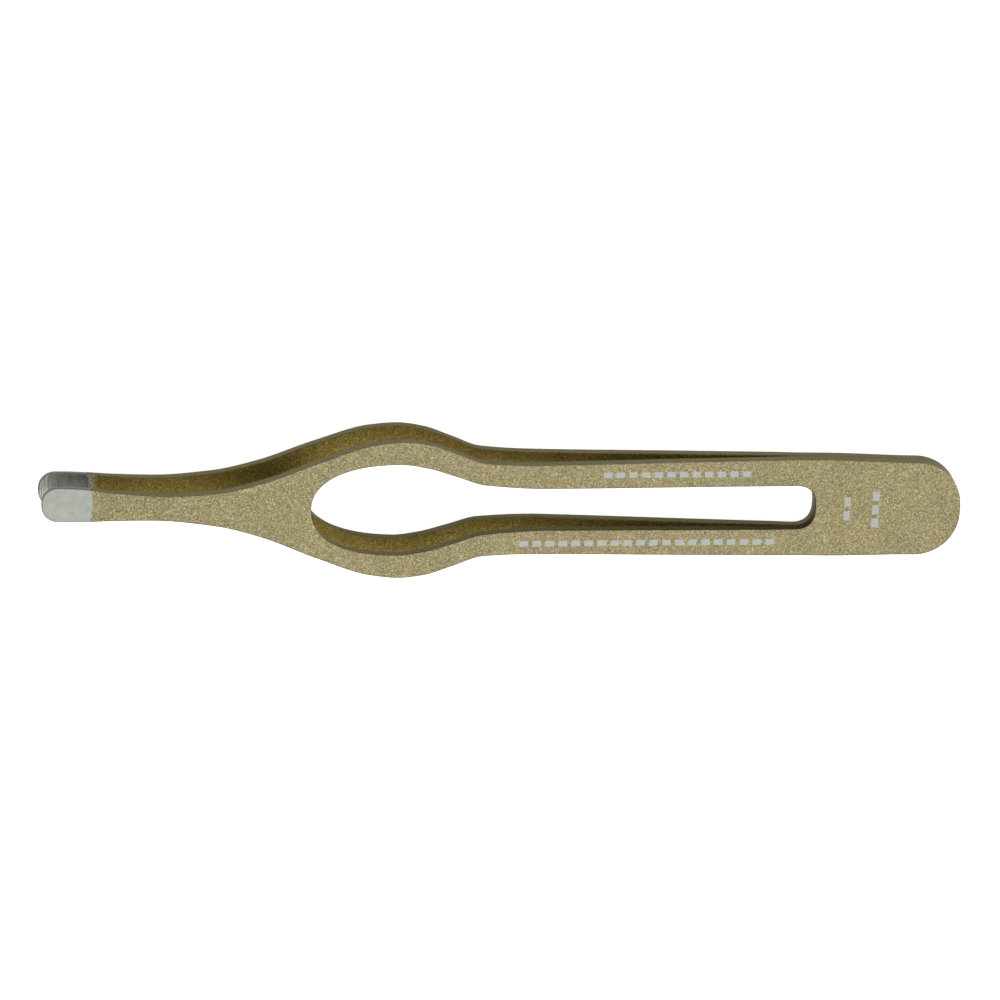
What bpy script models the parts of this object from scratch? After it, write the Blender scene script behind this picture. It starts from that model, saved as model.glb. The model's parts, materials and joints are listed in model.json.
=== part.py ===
"""Rounded-tip spring tweezers with finger ovals: two strips of sheet steel, spot-welded at the heel.

The tweezers lie on a table, tips towards -X, opening up and down. Each strip is described along its
length by s, the distance in millimetres from the heel's end, and by its height over the plane that
lies half-way between the two strips. A strip springs about a line across its rails, and it is cut
there into a heel and an arm, so that the arm can turn.
"""
import math

import bmesh
import bpy
from mathutils import Euler, Matrix, Vector

# Driving dimensions, in millimetres and degrees.
MM = 0.001
LENGTH = 94.8
SHEET = 1.2
HEEL_GAP = 0.1
HEEL_CORNER = 4.6
TIP_CORNER = 1.7
SPRING_AT = 29.0
SPRING_SLIT = 0.3
CLOSING = 1.85
GRIP_GAP = 0.1
GRIP_LENGTH = 0.9
TIP_SHEET = 0.72
GRIND_START = 84.0
GRIND_END = 91.5
EDGE_ROUND = 0.25
HOLE_ROUND = 0.12
SLOT_START = 15.1
SLOT_CENTRE = 17.3
SLOT_POWER = 2.6
OVAL_CENTRE = 58.2
OVAL_END = 67.4
OVAL_POWER = 2.3
WELDS = {"rear_spot_weld": 4.8, "front_spot_weld": 11.0}
WELD_RADIUS = 2.0
WELD_DEPTH = 0.6
WELD_CLEARANCE = 0.1

# Half the strip's width at distances from the heel's end.
OUTLINE = [
    (4.6, 5.0),
    (14.0, 5.2),
    (28.0, 5.05),
    (45.0, 4.8),
    (49.5, 5.0),
    (52.5, 6.0),
    (55.5, 7.0),
    (58.0, 7.3),
    (61.0, 7.0),
    (66.5, 5.2),
    (72.5, 2.9),
    (77.0, 1.8),
    (82.5, 1.35),
    (87.0, 1.5),
    (92.0, 1.85),
]
# Half the width of the slot, and of the oval that it runs into.
OPENING = [
    (17.3, 2.3),
    (43.0, 2.2),
    (49.5, 2.6),
    (52.5, 3.5),
    (55.5, 4.4),
    (58.2, 4.8),
]
# Height of a strip's outer face over the middle plane.
BOW = [
    (16.5, SHEET + HEEL_GAP / 2),
    (19.5, 1.45),
    (27.0, 1.85),
    (47.5, 3.0),
    (58.0, 3.4),
    (68.0, 3.8),
    (76.0, 3.9),
    (86.5, 3.35),
    (91.0, 2.95),
    (94.8, 2.85),
]


def slope_at(points, i):
    """A slope for point i that keeps the curve from swinging past its neighbours."""
    if i in (0, len(points) - 1):
        return 0.0
    before = (points[i][1] - points[i - 1][1]) / (points[i][0] - points[i - 1][0])
    after = (points[i + 1][1] - points[i][1]) / (points[i + 1][0] - points[i][0])
    if before * after <= 0:
        return 0.0
    return 2 * before * after / (before + after)


def curve(points, s):
    """The smooth curve through the points, read at s."""
    i = max(k for k in range(len(points) - 1) if k == 0 or points[k][0] <= s)
    (s0, v0), (s1, v1) = points[i], points[i + 1]
    run = s1 - s0
    t = min(max((s - s0) / run, 0.0), 1.0)
    rise = v1 - v0
    m0 = slope_at(points, i) * run
    m1 = slope_at(points, i + 1) * run
    return v0 + t * m0 + t * t * (3 * rise - 2 * m0 - m1) + t * t * t * (m0 + m1 - 2 * rise)


def rounded(reach, radius):
    """How far a corner of this radius pulls in, at reach from the end that it rounds."""
    return radius - math.sqrt(max(radius**2 - (radius - min(reach, radius)) ** 2, 0.0))


def half_width(s):
    if s < HEEL_CORNER:
        return curve(OUTLINE, HEEL_CORNER) - rounded(s, HEEL_CORNER)
    return curve(OUTLINE, s) - rounded(LENGTH - s, TIP_CORNER)


def oval(share, power):
    """The rest of a superellipse's half-width at this share of its half-length."""
    return max(1 - share**power, 0.0) ** (1 / power)


def half_opening(s):
    if s <= SLOT_START or s >= OVAL_END:
        return 0.0
    if s < SLOT_CENTRE:
        share = (SLOT_CENTRE - s) / (SLOT_CENTRE - SLOT_START)
        return OPENING[0][1] * oval(share, SLOT_POWER)
    if s > OVAL_CENTRE:
        share = (s - OVAL_CENTRE) / (OVAL_END - OVAL_CENTRE)
        return OPENING[-1][1] * oval(share, OVAL_POWER)
    return curve(OPENING, s)


def outer_height(s):
    return curve(BOW, s)


def grip_height(s):
    """The plane of the gripping face, which turns parallel to the other one as the tips meet."""
    return GRIP_GAP / 2 + (s - SPRING_AT) * math.tan(math.radians(CLOSING))


def inner_height(s):
    if s >= LENGTH - GRIP_LENGTH:
        return grip_height(s)
    t = min(max((s - GRIND_START) / (GRIND_END - GRIND_START), 0.0), 1.0)
    sheet = SHEET + (TIP_SHEET - SHEET) * t * t * (3 - 2 * t)
    return outer_height(s) - sheet


def spread(start, end, steps):
    return [start + (end - start) * i / steps for i in range(steps + 1)]


def curled(start, end, steps):
    """Distances that crowd towards start, where a round end turns fastest."""
    return [start + (end - start) * (1 - math.cos(math.pi / 2 * i / steps)) for i in range(steps + 1)]


def stations(first, last):
    """The distances at which a length of strip has its cross-sections."""
    found = curled(0.0, HEEL_CORNER, 8)
    found += spread(HEEL_CORNER, SLOT_START, 4)
    found += curled(SLOT_START, SLOT_CENTRE, 8)
    found += spread(SLOT_CENTRE, 45.0, 10)
    found += spread(45.0, OVAL_CENTRE, 11)
    found += curled(OVAL_END, OVAL_CENTRE, 11)
    found += spread(OVAL_END, LENGTH - TIP_CORNER, 17)
    found += curled(LENGTH, LENGTH - TIP_CORNER, 8)
    found.append(LENGTH - GRIP_LENGTH)
    inside = [s for s in found if first + 0.1 < s < last - 0.1 or s in (0.0, LENGTH)]
    kept = {round(s, 6) for s in inside if first <= s <= last} | {first, last}
    return sorted(kept)


def station_corners(shape, s, side, pivot):
    """The points of one cross-section, keyed by face (0 outer, 1 inner) and by place across."""
    across = {"left": -half_width(s), "right": half_width(s)}
    opening = half_opening(s)
    if opening > 0:
        across["left rim"] = -opening
        across["right rim"] = opening
    else:
        across["centre"] = 0.0
    corners = {}
    for face, height in enumerate((outer_height(s), inner_height(s))):
        for place, y in across.items():
            point = Vector(((LENGTH / 2 - s) * MM, y * MM, side * height * MM))
            corners[face, place] = shape.verts.new(point - pivot)
        if opening <= 0:
            corners[face, "left rim"] = corners[face, "centre"]
            corners[face, "right rim"] = corners[face, "centre"]
    return corners


def add_face(shape, corners):
    """A face on these corners, leaving out a corner that comes twice."""
    ring = [v for i, v in enumerate(corners) if v is not corners[i - 1]]
    if len(ring) > 2:
        shape.faces.new(ring)


def make_strip(name, side, first, last, pivot, colour):
    """A length of strip as a closed solid, side +1 for the upper strip and -1 for the lower."""
    shape = bmesh.new()
    rows = [station_corners(shape, s, side, pivot) for s in stations(first, last)]
    weight = shape.edges.layers.float.new("bevel_weight_edge")
    long_edges = []
    for a, b in zip(rows, rows[1:]):
        for place, rim in (("left", "left rim"), ("right", "right rim")):
            for face in (0, 1):
                add_face(shape, [a[face, place], b[face, place], b[face, rim], a[face, rim]])
                long_edges.append((a[face, place], b[face, place], 1.0))
                long_edges.append((a[face, rim], b[face, rim], HOLE_ROUND / EDGE_ROUND))
            add_face(shape, [a[0, place], b[0, place], b[1, place], a[1, place]])
            if a[0, "left rim"] is not a[0, "right rim"] or b[0, "left rim"] is not b[0, "right rim"]:
                add_face(shape, [a[0, rim], b[0, rim], b[1, rim], a[1, rim]])
    for row in (rows[0], rows[-1]):
        for place, rim in (("left", "left rim"), ("right", "right rim")):
            add_face(shape, [row[0, place], row[0, rim], row[1, rim], row[1, place]])
            if row[0, "left rim"] is row[0, "right rim"]:
                long_edges += [(row[face, place], row[face, rim], 1.0) for face in (0, 1)]
    for start, end, share in long_edges:
        edge = shape.edges.get((start, end))
        if edge and sum(abs(f.normal.z) < 0.5 for f in edge.link_faces) < 2:
            edge[weight] = share
    bmesh.ops.recalc_face_normals(shape, faces=shape.faces)
    strip = add_object(name, shape, pivot, colour)
    bevel = strip.modifiers.new("edge_rounding", "BEVEL")
    bevel.limit_method = "WEIGHT"
    bevel.width = EDGE_ROUND * MM
    bevel.segments = 2
    return strip


def add_object(name, shape, place, colour):
    mesh = bpy.data.meshes.new(name)
    shape.to_mesh(mesh)
    shape.free()
    mesh.shade_smooth()
    mesh.set_sharp_from_angle(angle=math.radians(30))
    thing = bpy.data.objects.new(name, mesh)
    thing.location = place
    thing.data.materials.append(make_material(name, **colour))
    bpy.context.scene.collection.objects.link(thing)
    return thing


def make_material(name, colour, metallic, roughness):
    material = bpy.data.materials.new(name)
    material.use_nodes = True
    shader = material.node_tree.nodes["Principled BSDF"]
    shader.inputs["Base Color"].default_value = (*colour, 1.0)
    shader.inputs["Metallic"].default_value = metallic
    shader.inputs["Roughness"].default_value = roughness
    return material


GOLD_PAINT = {"colour": (0.32, 0.28, 0.15), "metallic": 0.55, "roughness": 0.45}
BARE_STEEL = {"colour": (0.55, 0.56, 0.53), "metallic": 1.0, "roughness": 0.35}


def make_lens(name, radius, depth, s):
    """A spot weld's lens of fused metal, centred between the two strips."""
    shape = bmesh.new()
    bmesh.ops.create_uvsphere(shape, u_segments=24, v_segments=10, radius=1.0)
    bmesh.ops.scale(shape, vec=Vector((radius, radius, depth)) * MM, verts=shape.verts)
    return add_object(name, shape, Vector(((LENGTH / 2 - s) * MM, 0, 0)), BARE_STEEL)


def make_welds(heels):
    """The two welds, each in a pocket of its own shape in both strips."""
    made = []
    half_gap = HEEL_GAP / 2
    for name, s in WELDS.items():
        weld = make_lens(name, WELD_RADIUS, WELD_DEPTH + half_gap, s)
        reach = WELD_DEPTH + half_gap + WELD_CLEARANCE
        cutter = make_lens(f"{name}_pocket", WELD_RADIUS + WELD_CLEARANCE, reach, s)
        cutter.hide_render = True
        cutter.display_type = "WIRE"
        for heel in heels:
            pocket = heel.modifiers.new(cutter.name, "BOOLEAN")
            pocket.operation = "DIFFERENCE"
            pocket.object = cutter
        made += [weld, cutter]
    return made


def add_empty(name, place):
    empty = bpy.data.objects.new(name, None)
    empty.empty_display_size = 0.01
    empty.location = place
    bpy.context.scene.collection.objects.link(empty)
    return empty


def lie_down(frame):
    """Tips the tweezers until the heel and the swell of the lower strip both touch the table."""
    heel = outer_height(0.0)
    touching = stations(HEEL_CORNER, LENGTH)
    tilt = max(math.atan2(outer_height(s) - heel, s) for s in touching)
    frame.rotation_euler = Euler((0, tilt, 0))
    heel_corner = Vector((LENGTH / 2, 0, -heel)) * MM
    frame.location.z = -(Matrix.Rotation(tilt, 4, "Y") @ heel_corner).z
    frame.location.x = LENGTH / 2 * MM * (1 - math.cos(tilt))


def main():
    for thing in list(bpy.data.objects):
        bpy.data.objects.remove(thing, do_unlink=True)
    frame = add_empty("tweezers_lying", (0, 0, 0))
    heels = []
    half_slit = SPRING_SLIT / 2
    for word, side in (("upper", 1), ("lower", -1)):
        heel = make_strip(f"{word}_heel", side, 0.0, SPRING_AT - half_slit, Vector(), GOLD_PAINT)
        heel.parent = frame
        heels.append(heel)
        height = side * (outer_height(SPRING_AT) - SHEET / 2)
        pivot = Vector((LENGTH / 2 - SPRING_AT, 0, height)) * MM
        axis = add_empty(f"{word}_spring_axis", pivot)
        axis.parent = frame
        arm = make_strip(f"{word}_arm", side, SPRING_AT + half_slit, LENGTH, pivot, GOLD_PAINT)
        arm.location = (0, 0, 0)
        arm.parent = axis
    for thing in make_welds(heels):
        thing.parent = frame
    lie_down(frame)


main()
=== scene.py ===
"""The looks of the rounded-tip spring tweezers: two gold-painted steel strips with bare ground tips."""
import json
import math

import bmesh
import bpy
import numpy as np
from mathutils import Matrix, Vector


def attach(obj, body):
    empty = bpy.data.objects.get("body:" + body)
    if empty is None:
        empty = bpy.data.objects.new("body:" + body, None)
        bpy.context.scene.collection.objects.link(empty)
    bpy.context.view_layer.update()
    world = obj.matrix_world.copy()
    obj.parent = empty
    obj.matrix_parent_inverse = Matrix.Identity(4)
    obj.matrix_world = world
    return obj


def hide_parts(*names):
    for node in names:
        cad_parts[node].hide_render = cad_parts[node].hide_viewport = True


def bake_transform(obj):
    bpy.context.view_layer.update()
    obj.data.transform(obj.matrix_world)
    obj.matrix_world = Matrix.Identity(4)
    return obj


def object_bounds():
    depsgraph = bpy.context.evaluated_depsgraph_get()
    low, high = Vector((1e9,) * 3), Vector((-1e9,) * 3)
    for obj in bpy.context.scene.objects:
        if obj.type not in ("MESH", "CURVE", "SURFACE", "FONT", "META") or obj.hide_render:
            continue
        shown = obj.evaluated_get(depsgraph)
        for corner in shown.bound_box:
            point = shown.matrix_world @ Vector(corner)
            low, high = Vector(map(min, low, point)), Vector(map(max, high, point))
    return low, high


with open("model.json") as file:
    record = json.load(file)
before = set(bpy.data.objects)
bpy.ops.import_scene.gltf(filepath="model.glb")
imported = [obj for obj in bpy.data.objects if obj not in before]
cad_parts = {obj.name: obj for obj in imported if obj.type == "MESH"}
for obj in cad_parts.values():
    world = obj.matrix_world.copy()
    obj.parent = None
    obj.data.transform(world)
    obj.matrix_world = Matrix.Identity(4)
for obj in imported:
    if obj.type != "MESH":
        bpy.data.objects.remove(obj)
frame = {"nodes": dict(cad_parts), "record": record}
cad_low, cad_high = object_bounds()

# Sizes in millimetres and degrees, as the solids have them.
MM = 0.001
LENGTH = 94.8
SHEET = 1.2
TIP_SHEET = 0.72
HEEL_GAP = 0.1
HEEL_CORNER = 4.6
TIP_CORNER = 1.7
SPRING_AT = 29.0
CLOSING = 1.85
GRIP_GAP = 0.1
GRIP_LENGTH = 0.9
GRIND_START = 84.0
GRIND_END = 91.5
SLOT_START = 15.1
SLOT_CENTRE = 17.3
SLOT_POWER = 2.6
OVAL_CENTRE = 58.2
OVAL_END = 67.4
OVAL_POWER = 2.3
OUTLINE = [
    (4.6, 5.0),
    (14.0, 5.2),
    (28.0, 5.05),
    (45.0, 4.8),
    (49.5, 5.0),
    (52.5, 6.0),
    (55.5, 7.0),
    (58.0, 7.3),
    (61.0, 7.0),
    (66.5, 5.2),
    (72.5, 2.9),
    (77.0, 1.8),
    (82.5, 1.35),
    (87.0, 1.5),
    (92.0, 1.85),
]
OPENING = [
    (17.3, 2.3),
    (43.0, 2.2),
    (49.5, 2.6),
    (52.5, 3.5),
    (55.5, 4.4),
    (58.2, 4.8),
]
BOW = [
    (16.5, SHEET + HEEL_GAP / 2),
    (19.5, 1.45),
    (27.0, 1.85),
    (47.5, 3.0),
    (58.0, 3.4),
    (68.0, 3.8),
    (76.0, 3.9),
    (86.5, 3.35),
    (91.0, 2.95),
    (94.8, 2.85),
]

# How round each kind of edge is. The strips' inner edges are left nearly sharp where the heels are welded.
OUTER_ROUND = 0.14
HOLE_ROUND = 0.12
INNER_ROUND = 0.1
SEAM_ROUND = 0.03
TIP_ROUND = 0.11
HELD_FLAT = 0.05
ROUND_STEPS = 6

# Where the paint ends, how far that line dips towards the heel, and how thick the paint is.
PAINT_END = 89.8
PAINT_DIP = 0.2
PAINT_RAGGED = 0.02
PAINT_THICK = 0.03
TIP_OVERLAP = 0.9
SEAM_THICK = 0.16
SEAM_INSET = 0.02
GRIND_STEP = 0.05
GRIND_RAMP = 0.12
PARTING = 16.5
PARTING_LENGTH = 5.0
SHARP_ANGLE = 40

# The paint's flakes and shades, the rows of dashes on it as (s from, s to, y from, y to, dashes), and the
# colours of its worn flecks and of the bare steel.
FLAKES_PER_MM = 10.5
# Painted shade: the inner faces' gold darker and browner, as it looks in the shade and bounce between the
# arms.
INSIDE_SHADE_TINT = (0.72, 0.62, 0.27)
# Painted light: the walls' gold made brighter and bluer, for the light they catch.
WALL_LIGHT_TINT = (1.14, 1.18, 1.4)
EDGE_TINT = (0.55, 0.53, 0.45, 1.0)
WALL_ROUGHNESS = 0.26
PAINT_ROUGHNESS = (0.38, 0.58)
PAINT_METALLIC = 0.72
WALL_METALLIC = 0.96
PRINT_METALLIC = 0.1
FLAKE_TILT = 0.16
WALL_TILT = 0.05
WALL_SMOOTHING = 0.85
WALL_TONE = 0.47
# Painted shade on the hole's walls: how bright they stay deep in the slot, by the oval, and on the lower
# strip.
SLOT_SHADE = 0.12
OVAL_SHADE = 0.8
LOWER_SHADE = 0.7
PRINTED_ROWS = (
    (21.8, 37.6, 3.35, 3.95, 12),
    (19.0, 46.0, -3.95, -3.35, 20),
    (8.5, 9.2, -2.3, 2.0, 3),
    (11.5, 12.1, -1.6, 1.4, 2),
)
DASH_SHARE = 0.66
PRINT_SOFT = 0.05
PRINT_COLOUR = (0.56, 0.59, 0.59)
PRINT_STRENGTH = 0.82
PAINT_SHADES = [
    (0.10, (0.200, 0.165, 0.076)),
    (0.42, (0.280, 0.237, 0.120)),
    (0.65, (0.345, 0.298, 0.158)),
    (0.80, (0.420, 0.372, 0.212)),
    (0.90, (0.570, 0.520, 0.350)),
]
WORN_COLOUR = (0.66, 0.64, 0.56)
WORN_STRENGTH = 0.75
STEEL_SHADES = [
    (0.38, (0.20, 0.21, 0.19)),
    (0.50, (0.315, 0.325, 0.29)),
    (0.62, (0.46, 0.47, 0.43)),
]


def slope_at(points, i):
    """A slope for point i that keeps the curve from swinging past its neighbours."""
    if i in (0, len(points) - 1):
        return 0.0
    before = (points[i][1] - points[i - 1][1]) / (points[i][0] - points[i - 1][0])
    after = (points[i + 1][1] - points[i][1]) / (points[i + 1][0] - points[i][0])
    if before * after <= 0:
        return 0.0
    return 2 * before * after / (before + after)


def curve(points, s):
    """The smooth curve through the points, read at s."""
    i = max(k for k in range(len(points) - 1) if k == 0 or points[k][0] <= s)
    (s0, v0), (s1, v1) = points[i], points[i + 1]
    run = s1 - s0
    t = min(max((s - s0) / run, 0.0), 1.0)
    rise = v1 - v0
    m0 = slope_at(points, i) * run
    m1 = slope_at(points, i + 1) * run
    return v0 + t * m0 + t * t * (3 * rise - 2 * m0 - m1) + t * t * t * (m0 + m1 - 2 * rise)


def rounded(reach, radius):
    """How far a corner of this radius pulls in, at reach from the end that it rounds."""
    return radius - math.sqrt(max(radius**2 - (radius - min(reach, radius)) ** 2, 0.0))


def half_width(s):
    if s < HEEL_CORNER:
        return curve(OUTLINE, HEEL_CORNER) - rounded(s, HEEL_CORNER)
    return curve(OUTLINE, s) - rounded(LENGTH - s, TIP_CORNER)


def oval(share, power):
    """The rest of a superellipse's half-width at this share of its half-length."""
    return max(1 - share**power, 0.0) ** (1 / power)


def half_opening(s):
    if s <= SLOT_START or s >= OVAL_END:
        return 0.0
    if s < SLOT_CENTRE:
        share = (SLOT_CENTRE - s) / (SLOT_CENTRE - SLOT_START)
        return OPENING[0][1] * oval(share, SLOT_POWER)
    if s > OVAL_CENTRE:
        share = (s - OVAL_CENTRE) / (OVAL_END - OVAL_CENTRE)
        return OPENING[-1][1] * oval(share, OVAL_POWER)
    return curve(OPENING, s)


def outer_height(s):
    return curve(BOW, s)


def eased(t):
    t = min(max(t, 0.0), 1.0)
    return t * t * (3 - 2 * t)


def inner_height(s):
    """The inner face, ground back a little behind the gripping face, so that a fine step shows."""
    if s >= LENGTH - GRIP_LENGTH:
        return GRIP_GAP / 2 + (s - SPRING_AT) * math.tan(math.radians(CLOSING))
    ground = eased((s - GRIND_START) / (GRIND_END - GRIND_START))
    sheet = SHEET + (TIP_SHEET - SHEET) * ground
    relief = GRIND_STEP * eased((LENGTH - GRIP_LENGTH - s) / GRIND_RAMP) * ground
    return outer_height(s) - sheet + relief


# Shapes.


def spread(start, end, steps):
    return [start + (end - start) * i / steps for i in range(steps + 1)]


def curled(start, end, steps):
    """Distances that crowd towards start, where a round end turns fastest."""
    return [start + (end - start) * (1 - math.cos(math.pi / 2 * i / steps)) for i in range(steps + 1)]


def between(found, first, last):
    """The distances from first to last, both included, in order and without near twins."""
    kept = [first]
    for s in sorted(found):
        if s - kept[-1] > 0.01 and last - s > 0.01:
            kept.append(s)
    return kept + [last]


def around_grip():
    """Distances that hold the step behind the gripping face in shape."""
    return spread(LENGTH - GRIP_LENGTH - 3 * GRIND_RAMP, LENGTH - GRIP_LENGTH + GRIND_RAMP, 12)


def edge_path(first, last):
    """The strip's edge on the +Y side, as (s, y), closed to the middle line at each whole end."""
    found = curled(0.0, HEEL_CORNER, 26)
    found += spread(HEEL_CORNER, 45.0, 60)
    found += spread(45.0, 68.0, 64)
    found += spread(68.0, LENGTH - TIP_CORNER, 56)
    found += around_grip()
    found += curled(LENGTH, LENGTH - TIP_CORNER, 18)
    path = [(s, half_width(s)) for s in between(found, first, last)]
    if first == 0.0:
        path.insert(0, (0.0, 0.0))
    if last == LENGTH:
        path.append((LENGTH, 0.0))
    return path


def hole_path():
    """The edge of the slot and its oval on the +Y side, as (s, y)."""
    found = curled(SLOT_START, SLOT_CENTRE, 16)
    found += spread(SLOT_CENTRE, 45.0, 46)
    found += spread(45.0, OVAL_CENTRE, 42)
    found += curled(OVAL_END, OVAL_CENTRE, 34)
    return [(s, half_opening(s)) for s in between(found, SLOT_START, OVAL_END)]


def other_side(path):
    """The path's mirror image on the -Y side, run the other way."""
    return [(s, -y) for s, y in reversed(path) if y > 0]


def facings(path, closed):
    """The direction to the left of the way along the path, at each of its points."""
    found = []
    for k in range(len(path)):
        before = path[k - 1] if closed or k > 0 else path[k]
        after = path[(k + 1) % len(path)] if closed or k < len(path) - 1 else path[k]
        way = Vector((after[0] - before[0], after[1] - before[1])).normalized()
        found.append((-way.y, way.x))
    return found


def edge_profile(outer_round, inner_round):
    """Steps over an edge from outer to inner face: (face, way in, way down, share of wall)."""
    profile = []
    for face, radius in ((0, outer_round), (1, inner_round)):
        steps = [(face, radius + HELD_FLAT, 0.0, 0.0)]
        for i in range(ROUND_STEPS + 1):
            turn = math.pi / 2 * i / ROUND_STEPS
            way_in = radius * (1 - math.sin(turn))
            way_down = radius * (1 - math.cos(turn))
            steps.append((face, way_in, way_down, i / ROUND_STEPS))
        steps.append((face, 0.0, radius + HELD_FLAT, 1.0))
        profile += steps if face == 0 else steps[::-1]
    return profile


class Strip:
    """A length of strip, built as one closed mesh in the strips' own frame."""

    def __init__(self, side, inset):
        self.side = side
        self.inset = inset
        self.shape = bmesh.new()
        self.faces = self.shape.verts.layers.float_vector.new("strip_faces")
        self.in_hole = self.shape.verts.layers.float.new("strip_hole")

    def point(self, s, y, face, way_down=0.0, wall=0.0):
        """A point this far below the outer face (0) or the inner face (1)."""
        if face == 0:
            height = outer_height(s) - self.inset - way_down
        else:
            height = inner_height(s) + self.inset + way_down
        point = self.shape.verts.new((-s * MM, y * MM, self.side * height * MM))
        point[self.faces] = ((1 - wall) * (1 - face), wall, (1 - wall) * face)
        return point

    def add(self, corners):
        ring = [v for i, v in enumerate(corners) if v is not corners[i - 1]]
        if len(ring) > 2:
            self.shape.faces.new(ring)

    def edge(self, path, closed, outward, profile_at):
        """The rounded edge along a path: at each point of it, a row of points from face to face."""
        rows = []
        for (s, y), (left_s, left_y) in zip(path, facings(path, closed)):
            row = []
            for face, way_in, way_down, wall in profile_at(s):
                reach = outward * (way_in + self.inset)
                corner = self.point(s - left_s * reach, y - left_y * reach, face, way_down, wall)
                corner[self.in_hole] = 1.0 if outward < 0 else 0.0
                row.append(corner)
            rows.append(row)
        for a, b in zip(rows, rows[1:] + rows[:1] if closed else rows[1:]):
            for j in range(len(a) - 1):
                self.add([a[j], b[j], b[j + 1], a[j + 1]])
        return rows

    def middle(self, first, last, face):
        """Points along the middle line, from first to last."""
        found = spread(first, last, max(round((last - first) / 0.5), 2))
        if last == LENGTH - TIP_CORNER:
            found += around_grip()
        return [self.point(s, 0.0, face) for s in between(found, first, last)]

    def zip_up(self, a, b, way):
        """Fills the face between two rows of points that run the same way."""
        i = j = 0
        while i < len(a) - 1 or j < len(b) - 1:
            if j == len(b) - 1 or (i < len(a) - 1 and way(a[i + 1]) <= way(b[j + 1])):
                self.add([a[i], b[j], a[i + 1]])
                i += 1
            else:
                self.add([a[i], b[j], b[j + 1]])
                j += 1

    def close_end(self, fronts, first_row, last_row):
        """The end where a length of strip is cut: fronts are its lines on the two faces."""
        outer, inner = fronts
        for k in range(len(outer) - 1):
            self.add([outer[k], outer[k + 1], inner[k + 1], inner[k]])
        self.add(first_row)
        self.add(last_row)

    def piece(self, name):
        bmesh.ops.recalc_face_normals(self.shape, faces=self.shape.faces)
        mesh = bpy.data.meshes.new(name)
        self.shape.to_mesh(mesh)
        self.shape.free()
        mesh.shade_smooth()
        mesh.set_sharp_from_angle(angle=math.radians(SHARP_ANGLE))
        return settle(name, mesh)


def along(point):
    return -point.co.x


def off_middle(point):
    return abs(point.co.y)


def parted(s):
    """0 where the heels are welded, 1 where the arms are well apart."""
    return eased((s - PARTING) / PARTING_LENGTH)


def painted_profile(s):
    return edge_profile(OUTER_ROUND, SEAM_ROUND + (INNER_ROUND - SEAM_ROUND) * parted(s))


def hole_profile(s):
    return edge_profile(HOLE_ROUND, SEAM_ROUND + (INNER_ROUND - SEAM_ROUND) * parted(s))


def tip_profile(s):
    return edge_profile(TIP_ROUND, TIP_ROUND)


def paint_line(y, edge):
    """Where the paint ends: a shallow dip towards the heel, a little ragged."""
    share = min(abs(y) / edge, 1.0)
    ragged = PAINT_RAGGED * (math.sin(9.0 * y + 1.0) + math.sin(23.0 * y))
    return PAINT_END - PAINT_DIP * (1 - share**2) + ragged * (1 - share)


def painted_strip(name, side):
    """A strip from its heel to the end of its paint, with its slot and oval."""
    strip = Strip(side, 0.0)
    room = PAINT_END - 2 * PAINT_DIP
    plus = edge_path(0.0, room) + [(PAINT_END, half_width(PAINT_END))]
    rows = strip.edge(other_side(plus) + plus, False, 1, painted_profile)
    heel = len(plus) - 1
    hole = hole_path()
    rims = strip.edge(hole + other_side(hole), True, -1, hole_profile)
    fronts = []
    for face in (0, 1):
        edge = [row[-face] for row in rows]
        rim = [row[-face] for row in rims]
        slot_line = strip.middle(OUTER_ROUND + 3 * HELD_FLAT, SLOT_START - 0.3, face)
        oval_line = strip.middle(OVAL_END + 0.3, room, face)
        reach = off_middle(edge[0]) / MM
        front = [edge[0]]
        for y in spread(-reach, reach, 16)[1:-1]:
            front.append(strip.point(paint_line(y, reach), y, face))
        front.append(edge[-1])
        fronts.append(front)
        middle_front = front[8]
        halves = (
            (edge[heel:], rim[: len(hole)], front[8:]),
            (edge[heel::-1], rim[:1] + rim[: len(hole) - 2 : -1], front[8::-1]),
        )
        for outer, inner, half_front in halves:
            strip.zip_up(outer[:-1], [edge[heel]] + slot_line + inner + oval_line, along)
            strip.zip_up(half_front, [oval_line[-1], outer[-2]], off_middle)
    strip.close_end(fronts, rows[0], rows[-1])
    return strip.piece(name)


def bare_tip(name, side):
    """A strip's bare end, which reaches in under the paint."""
    strip = Strip(side, PAINT_THICK)
    start = PAINT_END - TIP_OVERLAP
    plus = edge_path(start, LENGTH)
    rows = strip.edge(plus + other_side(plus), False, 1, tip_profile)
    tip = len(plus) - 1
    fronts = []
    for face in (0, 1):
        edge = [row[-face] for row in rows]
        middle = strip.middle(start, LENGTH - TIP_CORNER, face) + [
            strip.point(s, 0.0, face) for s in spread(LENGTH - TIP_CORNER, LENGTH - 0.2, 6)[1:]
        ]
        for half in (edge[: tip + 1], edge[: tip - 1 : -1]):
            strip.zip_up(half, middle + [edge[tip]], along)
        fronts.append([edge[0], middle[0], edge[-1]])
    strip.close_end(fronts, rows[0], rows[-1])
    return strip.piece(name)


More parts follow.
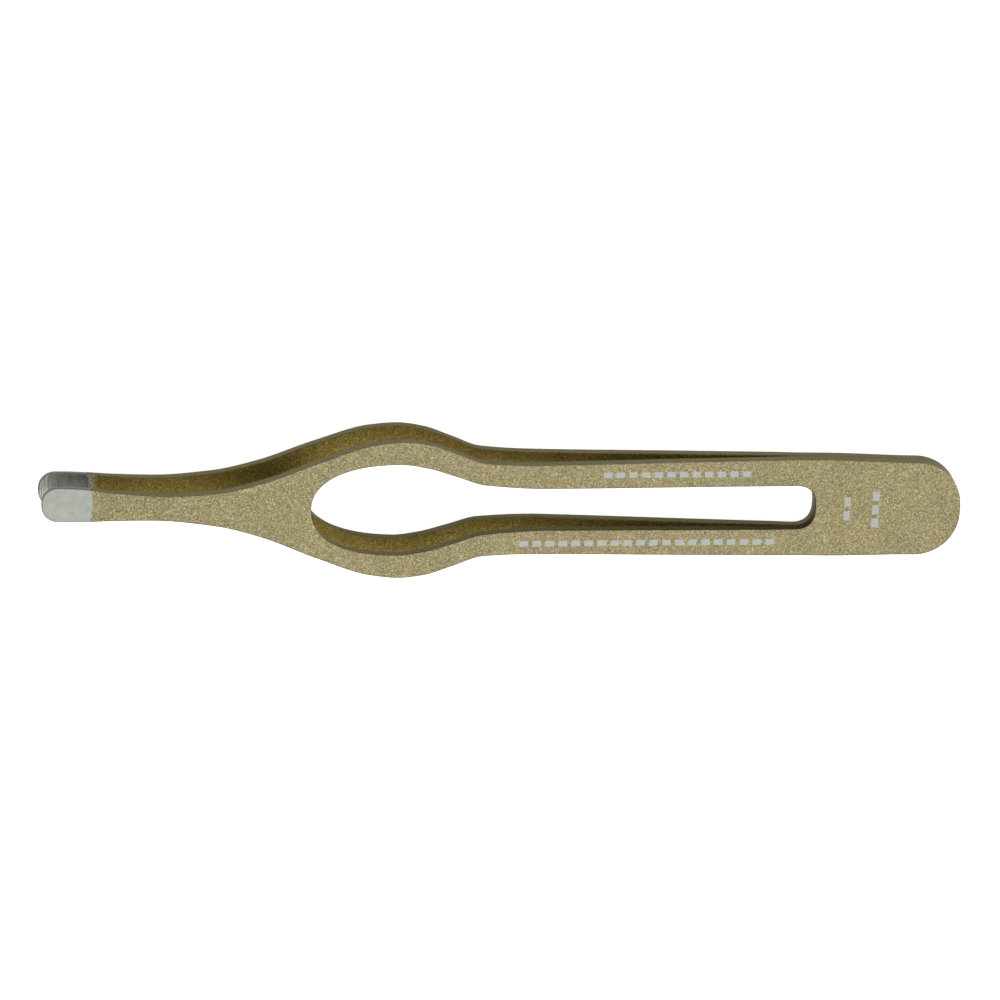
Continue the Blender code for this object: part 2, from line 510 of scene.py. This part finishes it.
def heel_seam(name):
    """The paint that fills the seam between the strips, from the heel's end to near the slot."""
    shape = bmesh.new()
    plus = edge_path(0.0, SLOT_START - 0.6)
    path = other_side(plus) + plus
    rings = []
    for height in (-SEAM_THICK / 2, SEAM_THICK / 2):
        ring = []
        for (s, y), (left_s, left_y) in zip(path, facings(path, False)):
            spot = (-(s - left_s * SEAM_INSET) * MM, (y - left_y * SEAM_INSET) * MM, height * MM)
            ring.append(shape.verts.new(spot))
        rings.append(ring)
        shape.faces.new(ring)
    for k in range(len(path)):
        shape.faces.new([rings[0][k - 1], rings[0][k], rings[1][k], rings[1][k - 1]])
    bmesh.ops.recalc_face_normals(shape, faces=shape.faces)
    mesh = bpy.data.meshes.new(name)
    shape.to_mesh(mesh)
    shape.free()
    walls = mesh.attributes.new("strip_faces", "FLOAT_VECTOR", "POINT")
    walls.data.foreach_set("vector", [0.0, 1.0, 0.0] * len(mesh.vertices))
    mesh.shade_smooth()
    mesh.set_sharp_from_angle(angle=math.radians(SHARP_ANGLE))
    return settle(name, mesh)


def settle(name, mesh):
    """Makes a piece of a mesh: notes each point's place along the strips, then lays it in the frame."""
    places = np.empty(len(mesh.vertices) * 3, np.float32)
    mesh.vertices.foreach_get("co", places)
    mesh.attributes.new("strip_place", "FLOAT_VECTOR", "POINT").data.foreach_set("vector", places)
    mesh.transform(STRIPS_FRAME)
    piece = bpy.data.objects.new(name, mesh)
    bpy.context.scene.collection.objects.link(piece)
    return piece


def strips_frame():
    """The frame at the middle of the heel's end, with X away from the tips and Z across the gap."""
    record = frame["record"]
    up = Vector(next(m["axis"] for m in record["mounts"] if m["name"] == "heel_top")).normalized()
    joints = record["behaviour"]["joints"]
    hinges = [Vector(j["pos_m"]) for j in joints]
    to_heel = Vector((0, 1, 0)).cross(up)
    axes = Matrix((to_heel, Vector((0, 1, 0)), up)).transposed().to_4x4()
    return Matrix.Translation((hinges[0] + hinges[1]) / 2 + to_heel * SPRING_AT * MM) @ axes


STRIPS_FRAME = strips_frame()


# Materials.


class Nodes:
    """A material's node tree, with short ways to add to it."""

    def __init__(self, name):
        self.material = bpy.data.materials.new(name)
        self.material.use_nodes = True
        self.tree = self.material.node_tree
        self.shader = self.tree.nodes["Principled BSDF"]

    def set(self, socket, value):
        if isinstance(value, bpy.types.NodeSocket):
            self.tree.links.new(value, socket)
        else:
            socket.default_value = value

    def add(self, kind, inputs=(), **settings):
        node = self.tree.nodes.new(kind)
        for key, value in settings.items():
            setattr(node, key, value)
        for key, value in dict(inputs).items():
            self.set(node.inputs[key], value)
        return node

    def math(self, operation, *values):
        node = self.add("ShaderNodeMath", operation=operation)
        for i, value in enumerate(values):
            self.set(node.inputs[i], value)
        return node.outputs[0]

    def vector(self, operation, *values):
        node = self.add("ShaderNodeVectorMath", operation=operation)
        for i, value in enumerate(values):
            self.set(node.inputs["Scale" if operation == "SCALE" and i == 1 else i], value)
        return node.outputs[0]

    def attribute(self, name):
        return self.add("ShaderNodeAttribute", attribute_name=name).outputs["Vector"]

    def place(self, scale=(1.0, 1.0, 1.0)):
        """Where the surface is on the strips: (-s, y, height) in millimetres, times the scale."""
        return self.vector("MULTIPLY", self.attribute("strip_place"), [1000.0 * f for f in scale])

    def parts(self, vector):
        node = self.add("ShaderNodeSeparateXYZ", {"Vector": vector})
        return node.outputs["X"], node.outputs["Y"], node.outputs["Z"]

    def noise(self, where, scale, detail=2.0):
        inputs = {"Vector": where, "Scale": scale, "Detail": detail}
        return self.add("ShaderNodeTexNoise", inputs).outputs["Fac"]

    def cells(self, where, scale):
        """Random colours, one for each cell."""
        inputs = {"Vector": where, "Scale": scale}
        return self.add("ShaderNodeTexVoronoi", inputs, feature="F1").outputs["Color"]

    def ramp(self, value, stops):
        node = self.add("ShaderNodeValToRGB", {"Fac": value})
        stop_list = node.color_ramp.elements
        while len(stop_list) < len(stops):
            stop_list.new(0.5)
        for element, (at, colour) in zip(stop_list, stops):
            element.position = at
            element.color = (*colour, 1.0)
        return node.outputs["Color"]

    def range(self, value, low, high, to_low, to_high):
        inputs = {"Value": value, "From Min": low, "From Max": high, "To Min": to_low, "To Max": to_high}
        return self.add("ShaderNodeMapRange", inputs).outputs["Result"]

    def mix(self, share, first, second, blend="MIX"):
        """The first colour turned into the second by the share."""
        node = self.add("ShaderNodeMix", data_type="RGBA", blend_type=blend)
        factor, a, b = node.inputs[0], node.inputs[6], node.inputs[7]
        for socket, value in ((factor, share), (a, first), (b, second)):
            self.set(socket, (*value, 1.0) if isinstance(value, tuple) else value)
        return node.outputs[2]

    def band(self, value, low, high, soft):
        """1 between low and high, falling to 0 over the soft width."""
        rise = self.range(value, low - soft, low + soft, 0.0, 1.0)
        fall = self.range(value, high - soft, high + soft, 1.0, 0.0)
        return self.math("MULTIPLY", rise, fall)

    def tilted_normal(self, cells, amount):
        """The surface's normal, turned a little another way in each cell, as flakes lie in paint."""
        normal = self.add("ShaderNodeNewGeometry").outputs["Normal"]
        lean = self.vector("SUBTRACT", cells, (0.5, 0.5, 0.5))
        return self.vector("NORMALIZE", self.vector("ADD", normal, self.vector("SCALE", lean, amount)))

    def bump(self, height, strength, distance):
        inputs = {"Height": height, "Strength": strength, "Distance": distance}
        return self.add("ShaderNodeBump", inputs).outputs["Normal"]

    def shade(self, **values):
        for key, value in values.items():
            self.set(self.shader.inputs[key.replace("_", " ")], value)
        return self.material


def printed_marks(n, where):
    """Rows of plain pale dashes on the upper strip: one row on each rail, and two across the heel."""
    back, across, height = n.parts(where)
    total = None
    for low, high, left, right, dashes in PRINTED_ROWS:
        lengthwise = high - low > right - left
        run, start, reach = (back, -high, high - low) if lengthwise else (across, left, right - left)
        pitch = reach / dashes
        share = n.math("FRACT", n.math("DIVIDE", n.math("SUBTRACT", run, start), pitch))
        dash = n.band(share, (1 - DASH_SHARE) / 2, (1 + DASH_SHARE) / 2, PRINT_SOFT / pitch)
        on_length = n.band(back, -high, -low, PRINT_SOFT)
        on_width = n.band(across, left, right, PRINT_SOFT)
        row = n.math("MULTIPLY", n.math("MULTIPLY", on_length, on_width), dash)
        total = row if total is None else n.math("MAXIMUM", total, row)
    return n.math("MULTIPLY", total, n.math("GREATER_THAN", height, 0.0))


def painted_hole_shade(n, where, wall, colour):
    """The paint on the hole's walls with painted shade, darkest deep in the slot of the upper strip."""
    back, across, height = n.parts(where)
    hole = n.add("ShaderNodeAttribute", attribute_name="strip_hole").outputs["Fac"]
    upper = n.range(back, -OVAL_CENTRE, -SLOT_CENTRE, OVAL_SHADE, SLOT_SHADE)
    level = n.range(n.math("GREATER_THAN", height, 0.0), 0.0, 1.0, LOWER_SHADE, upper)
    return n.vector("SCALE", colour, n.range(n.math("MULTIPLY", hole, wall), 0.0, 1.0, 1.0, level))


def gold_paint():
    """Satin gold paint full of metal flake: fine grain, with a brighter fleck here and there."""
    n = Nodes("gold_flake_paint")
    where = n.place()
    outside, wall, inside = n.parts(n.attribute("strip_faces"))
    flakes = n.cells(where, FLAKES_PER_MM)
    red, green = n.parts(flakes)[:2]
    grain = n.noise(where, FLAKES_PER_MM, 1.0)
    tone = n.math("ADD", n.math("MULTIPLY", red, 0.8), n.math("MULTIPLY", grain, 0.2))
    tone = n.mix(n.math("MULTIPLY", wall, WALL_SMOOTHING), tone, (WALL_TONE,) * 3)
    colour = n.ramp(tone, PAINT_SHADES)
    cloud = n.noise(where, 0.45, 3.0)
    colour = n.vector("SCALE", colour, n.range(cloud, 0.3, 0.7, 0.93, 1.06))
    # Painted shade: the inner faces darker and browner.
    colour = n.mix(inside, colour, INSIDE_SHADE_TINT, "MULTIPLY")
    # Painted light: the walls brighter and bluer.
    colour = n.mix(wall, colour, WALL_LIGHT_TINT, "MULTIPLY")
    # Painted shade: the hole's walls darkened, most deeply in the slot of the upper strip.
    colour = painted_hole_shade(n, where, wall, colour)
    back = n.parts(where)[0]
    scuff = n.band(back, -PAINT_END - 0.5, -PAINT_END + 0.85, 0.25)
    worn = n.math("MULTIPLY", n.math("MULTIPLY", scuff, inside), n.math("GREATER_THAN", grain, 0.5))
    colour = n.mix(n.math("MULTIPLY", worn, WORN_STRENGTH), colour, WORN_COLOUR)
    marks = n.math("MULTIPLY", printed_marks(n, where), outside)
    colour = n.mix(n.math("MULTIPLY", marks, PRINT_STRENGTH), colour, PRINT_COLOUR)
    metallic = n.range(wall, 0.0, 1.0, PAINT_METALLIC, WALL_METALLIC)
    metallic = n.range(marks, 0.0, 1.0, metallic, PRINT_METALLIC)
    roughness = n.range(green, 0.0, 1.0, *PAINT_ROUGHNESS)
    roughness = n.range(wall, 0.0, 1.0, roughness, WALL_ROUGHNESS)
    normal = n.tilted_normal(flakes, n.range(wall, 0.0, 1.0, FLAKE_TILT, WALL_TILT))
    return n.shade(
        Base_Color=colour,
        Metallic=metallic,
        Roughness=roughness,
        Specular_Tint=EDGE_TINT,
        Normal=normal,
    )


def bare_steel():
    """Ground stainless steel: nearly smooth outside, with marks across the strip inside."""
    n = Nodes("ground_steel")
    inside = n.parts(n.attribute("strip_faces"))[2]
    back = n.parts(n.place())[0]
    marks = n.noise(n.place((11.0, 0.5, 2.5)), 1.0, 3.0)
    pits = n.noise(n.place(), 6.0, 2.0)
    cloud = n.noise(n.place(), 1.3, 3.0)
    dull = n.range(back, -LENGTH + 1.0, -PAINT_END, 0.0, 1.0)
    ground = n.mix(dull, marks, pits)
    ground = n.math("ADD", n.math("MULTIPLY", ground, 0.75), n.math("MULTIPLY", cloud, 0.25))
    smooth = n.math("ADD", n.math("MULTIPLY", cloud, 0.12), 0.44)
    tone = n.mix(inside, smooth, ground)
    colour = n.ramp(tone, STEEL_SHADES)
    shade = n.range(dull, 0.0, 1.0, 1.2, 0.7)
    worn_edge = n.band(back, GRIP_LENGTH - LENGTH - 0.06, GRIP_LENGTH - LENGTH + 0.02, 0.04)
    shade = n.math("ADD", shade, worn_edge)
    colour = n.mix(inside, colour, n.vector("SCALE", colour, shade))
    roughness = n.range(tone, 0.3, 0.7, 0.46, 0.34)
    normal = n.bump(n.math("MULTIPLY", marks, inside), 0.5, 0.00002)
    return n.shade(Base_Color=colour, Metallic=1.0, Roughness=roughness, Normal=normal)


def weld_metal():
    """Fused metal, faintly mottled."""
    n = Nodes("fused_steel")
    spot = n.add("ShaderNodeTexCoord").outputs["Object"]
    cloud = n.noise(spot, 1500.0, 4.0)
    colour = n.ramp(cloud, [(0.35, (0.30, 0.30, 0.30)), (0.65, (0.48, 0.48, 0.47))])
    return n.shade(Base_Color=colour, Metallic=1.0, Roughness=n.range(cloud, 0.3, 0.7, 0.35, 0.6))


def floor_paper(name, shade, glow):
    """Plain paper with a trace of tooth, lit from behind by its glow, and clear when seen from below."""
    n = Nodes(name)
    spot = n.add("ShaderNodeTexCoord").outputs["Object"]
    tooth = n.noise(spot, 900.0, 3.0)
    colour = n.ramp(tooth, [(0.3, (0.97 * shade,) * 3), (0.7, (shade,) * 3)])
    clear = n.add("ShaderNodeNewGeometry").outputs["Backfacing"]
    return n.shade(
        Base_Color=colour,
        Roughness=0.9,
        Emission_Color=(1.0, 1.0, 1.0, 1.0),
        Emission_Strength=glow,
        Alpha=n.math("SUBTRACT", 1.0, clear),
    )


# Pieces.

GOLD = gold_paint()
STEEL = bare_steel()


def finish_piece(piece, material):
    piece.data.materials.clear()
    piece.data.materials.append(material)


def make_strip(word, side):
    """A strip as one painted piece that runs from heel to arm, and its bare tip."""
    paint = painted_strip(f"{word}_strip_paint", side)
    finish_piece(paint, GOLD)
    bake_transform(paint)
    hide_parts(f"{word}_heel", f"{word}_arm")
    tip = bare_tip(f"{word}_bare_tip", side)
    finish_piece(tip, STEEL)
    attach(tip, f"{word}_arm")


make_strip("upper", 1)
make_strip("lower", -1)
seam = heel_seam("heel_seam_paint")
finish_piece(seam, GOLD)
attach(seam, "heel")
for node in ("rear_spot_weld", "front_spot_weld"):
    weld = frame["nodes"][node]
    for material_slot in weld.material_slots:
        material_slot.material = weld_metal()


# Floor, light and camera. The papers' depths are in millimetres; their reach and the lights' places and
# sizes are in metres. HORIZON_HEIGHT and SKY_HEIGHT are heights on a sphere of radius 1.

FLOOR_REACH = 3.0
SEEN_DEPTH = 0.02
SEEN_SHADE = 0.91
SEEN_GLOW = 0.8
MIRRORED_DEPTH = 30.0
MIRRORED_SHADE = 0.75
SKY_LIGHT = 0.36
HORIZON_LIGHT = 0.16
HORIZON_HEIGHT = 0.2
SKY_HEIGHT = 0.6
SOFTBOX_PLACE = (0.1, -0.3, 0.9)
SOFTBOX_SIZE = (1.3, 1.0)
SOFTBOX_RADIANCE = 1.3
REFLECTOR_PLACE = (1.3, 0.1, 0.25)
REFLECTOR_SIZE = (0.7, 0.4)
REFLECTOR_RADIANCE = 12.0


def make_floor(name, depth, material):
    """A square of paper this many millimetres under the object."""
    mesh = bpy.data.meshes.new(name)
    corners = [(x * FLOOR_REACH, y * FLOOR_REACH, 0.0) for x, y in ((-1, -1), (1, -1), (1, 1), (-1, 1))]
    mesh.from_pydata(corners, [], [(0, 1, 2, 3)])
    mesh.materials.append(material)
    floor = bpy.data.objects.new(name, mesh)
    floor.location.z = cad_low.z - depth * MM
    bpy.context.scene.collection.objects.link(floor)
    return floor


def make_floors():
    """White paper that only the camera sees, over greyer paper that lights the tweezers from below."""
    seen = make_floor("seen_floor", SEEN_DEPTH, floor_paper("white_paper", SEEN_SHADE, SEEN_GLOW))
    seen.visible_diffuse = False
    seen.visible_glossy = False
    seen.visible_shadow = False
    mirrored = make_floor("mirrored_floor", MIRRORED_DEPTH, floor_paper("grey_paper", MIRRORED_SHADE, 0.0))
    mirrored.visible_camera = False


def make_light(name, location, size, radiance):
    """A soft rectangular light that faces the tweezers and shines this brightly all over."""
    lamp = bpy.data.lights.new(name, "AREA")
    lamp.shape = "RECTANGLE"
    lamp.size, lamp.size_y = size
    lamp.energy = radiance * math.pi * size[0] * size[1]
    light = bpy.data.objects.new(name, lamp)
    light.location = location
    light.rotation_mode = "QUATERNION"
    light.rotation_quaternion = (-light.location).to_track_quat("-Z", "Y")
    bpy.context.scene.collection.objects.link(light)


def make_world():
    """A dim room: SKY_LIGHT overhead, falling to HORIZON_LIGHT at the horizon."""
    world = bpy.data.worlds.new("studio")
    world.use_nodes = True
    nodes, links = world.node_tree.nodes, world.node_tree.links
    spot = nodes.new("ShaderNodeTexCoord")
    split = nodes.new("ShaderNodeSeparateXYZ")
    level = nodes.new("ShaderNodeMapRange")
    level.inputs["From Min"].default_value = HORIZON_HEIGHT
    level.inputs["From Max"].default_value = SKY_HEIGHT
    level.inputs["To Min"].default_value = HORIZON_LIGHT
    level.inputs["To Max"].default_value = SKY_LIGHT
    links.new(spot.outputs["Generated"], split.inputs["Vector"])
    links.new(split.outputs["Z"], level.inputs["Value"])
    links.new(level.outputs["Result"], nodes["Background"].inputs["Strength"])
    nodes["Background"].inputs["Color"].default_value = (1.0, 1.0, 1.0, 1.0)
    bpy.context.scene.world = world


# The camera looks down from the side of the tips and of the +Y edge. CAMERA_SEES is how wide its view is
# at the tweezers. That and its distance are in metres, its sensor and offset are in millimetres, and its
# roll is in radians.
CAMERA_LEAN = Vector((-0.135, 0.325, 1.0))
CAMERA_ROLL = 0.051
CAMERA_DISTANCE = 0.9
CAMERA_SEES = 0.1023
CAMERA_SENSOR = 36.0
CAMERA_OFFSET = (-0.2, 0.1)


def make_camera():
    out = CAMERA_LEAN.normalized()
    right = Vector((0, 1, 0)).cross(out).normalized()
    up = out.cross(right)
    turn = Matrix.Rotation(CAMERA_ROLL, 3, out)
    right, up = turn @ right, turn @ up
    axes = Matrix((right, up, out)).transposed()
    eye = out * CAMERA_DISTANCE + right * CAMERA_OFFSET[0] * MM + up * CAMERA_OFFSET[1] * MM
    middle = STRIPS_FRAME @ Matrix.Translation((-LENGTH / 2 * MM, 0, 0))
    data = bpy.data.cameras.new("camera")
    data.sensor_width = CAMERA_SENSOR
    data.lens = CAMERA_SENSOR * CAMERA_DISTANCE / CAMERA_SEES
    data.clip_start = 0.05
    data.clip_end = 20.0
    camera = bpy.data.objects.new("camera", data)
    camera.matrix_world = middle @ Matrix.Translation(eye) @ axes.to_4x4()
    bpy.context.scene.collection.objects.link(camera)
    bpy.context.scene.camera = camera


make_floors()
make_light("overhead_softbox", SOFTBOX_PLACE, SOFTBOX_SIZE, SOFTBOX_RADIANCE)
make_light("right_reflector", REFLECTOR_PLACE, REFLECTOR_SIZE, REFLECTOR_RADIANCE)
make_world()
make_camera()
bpy.context.scene.view_settings.view_transform = "Standard"
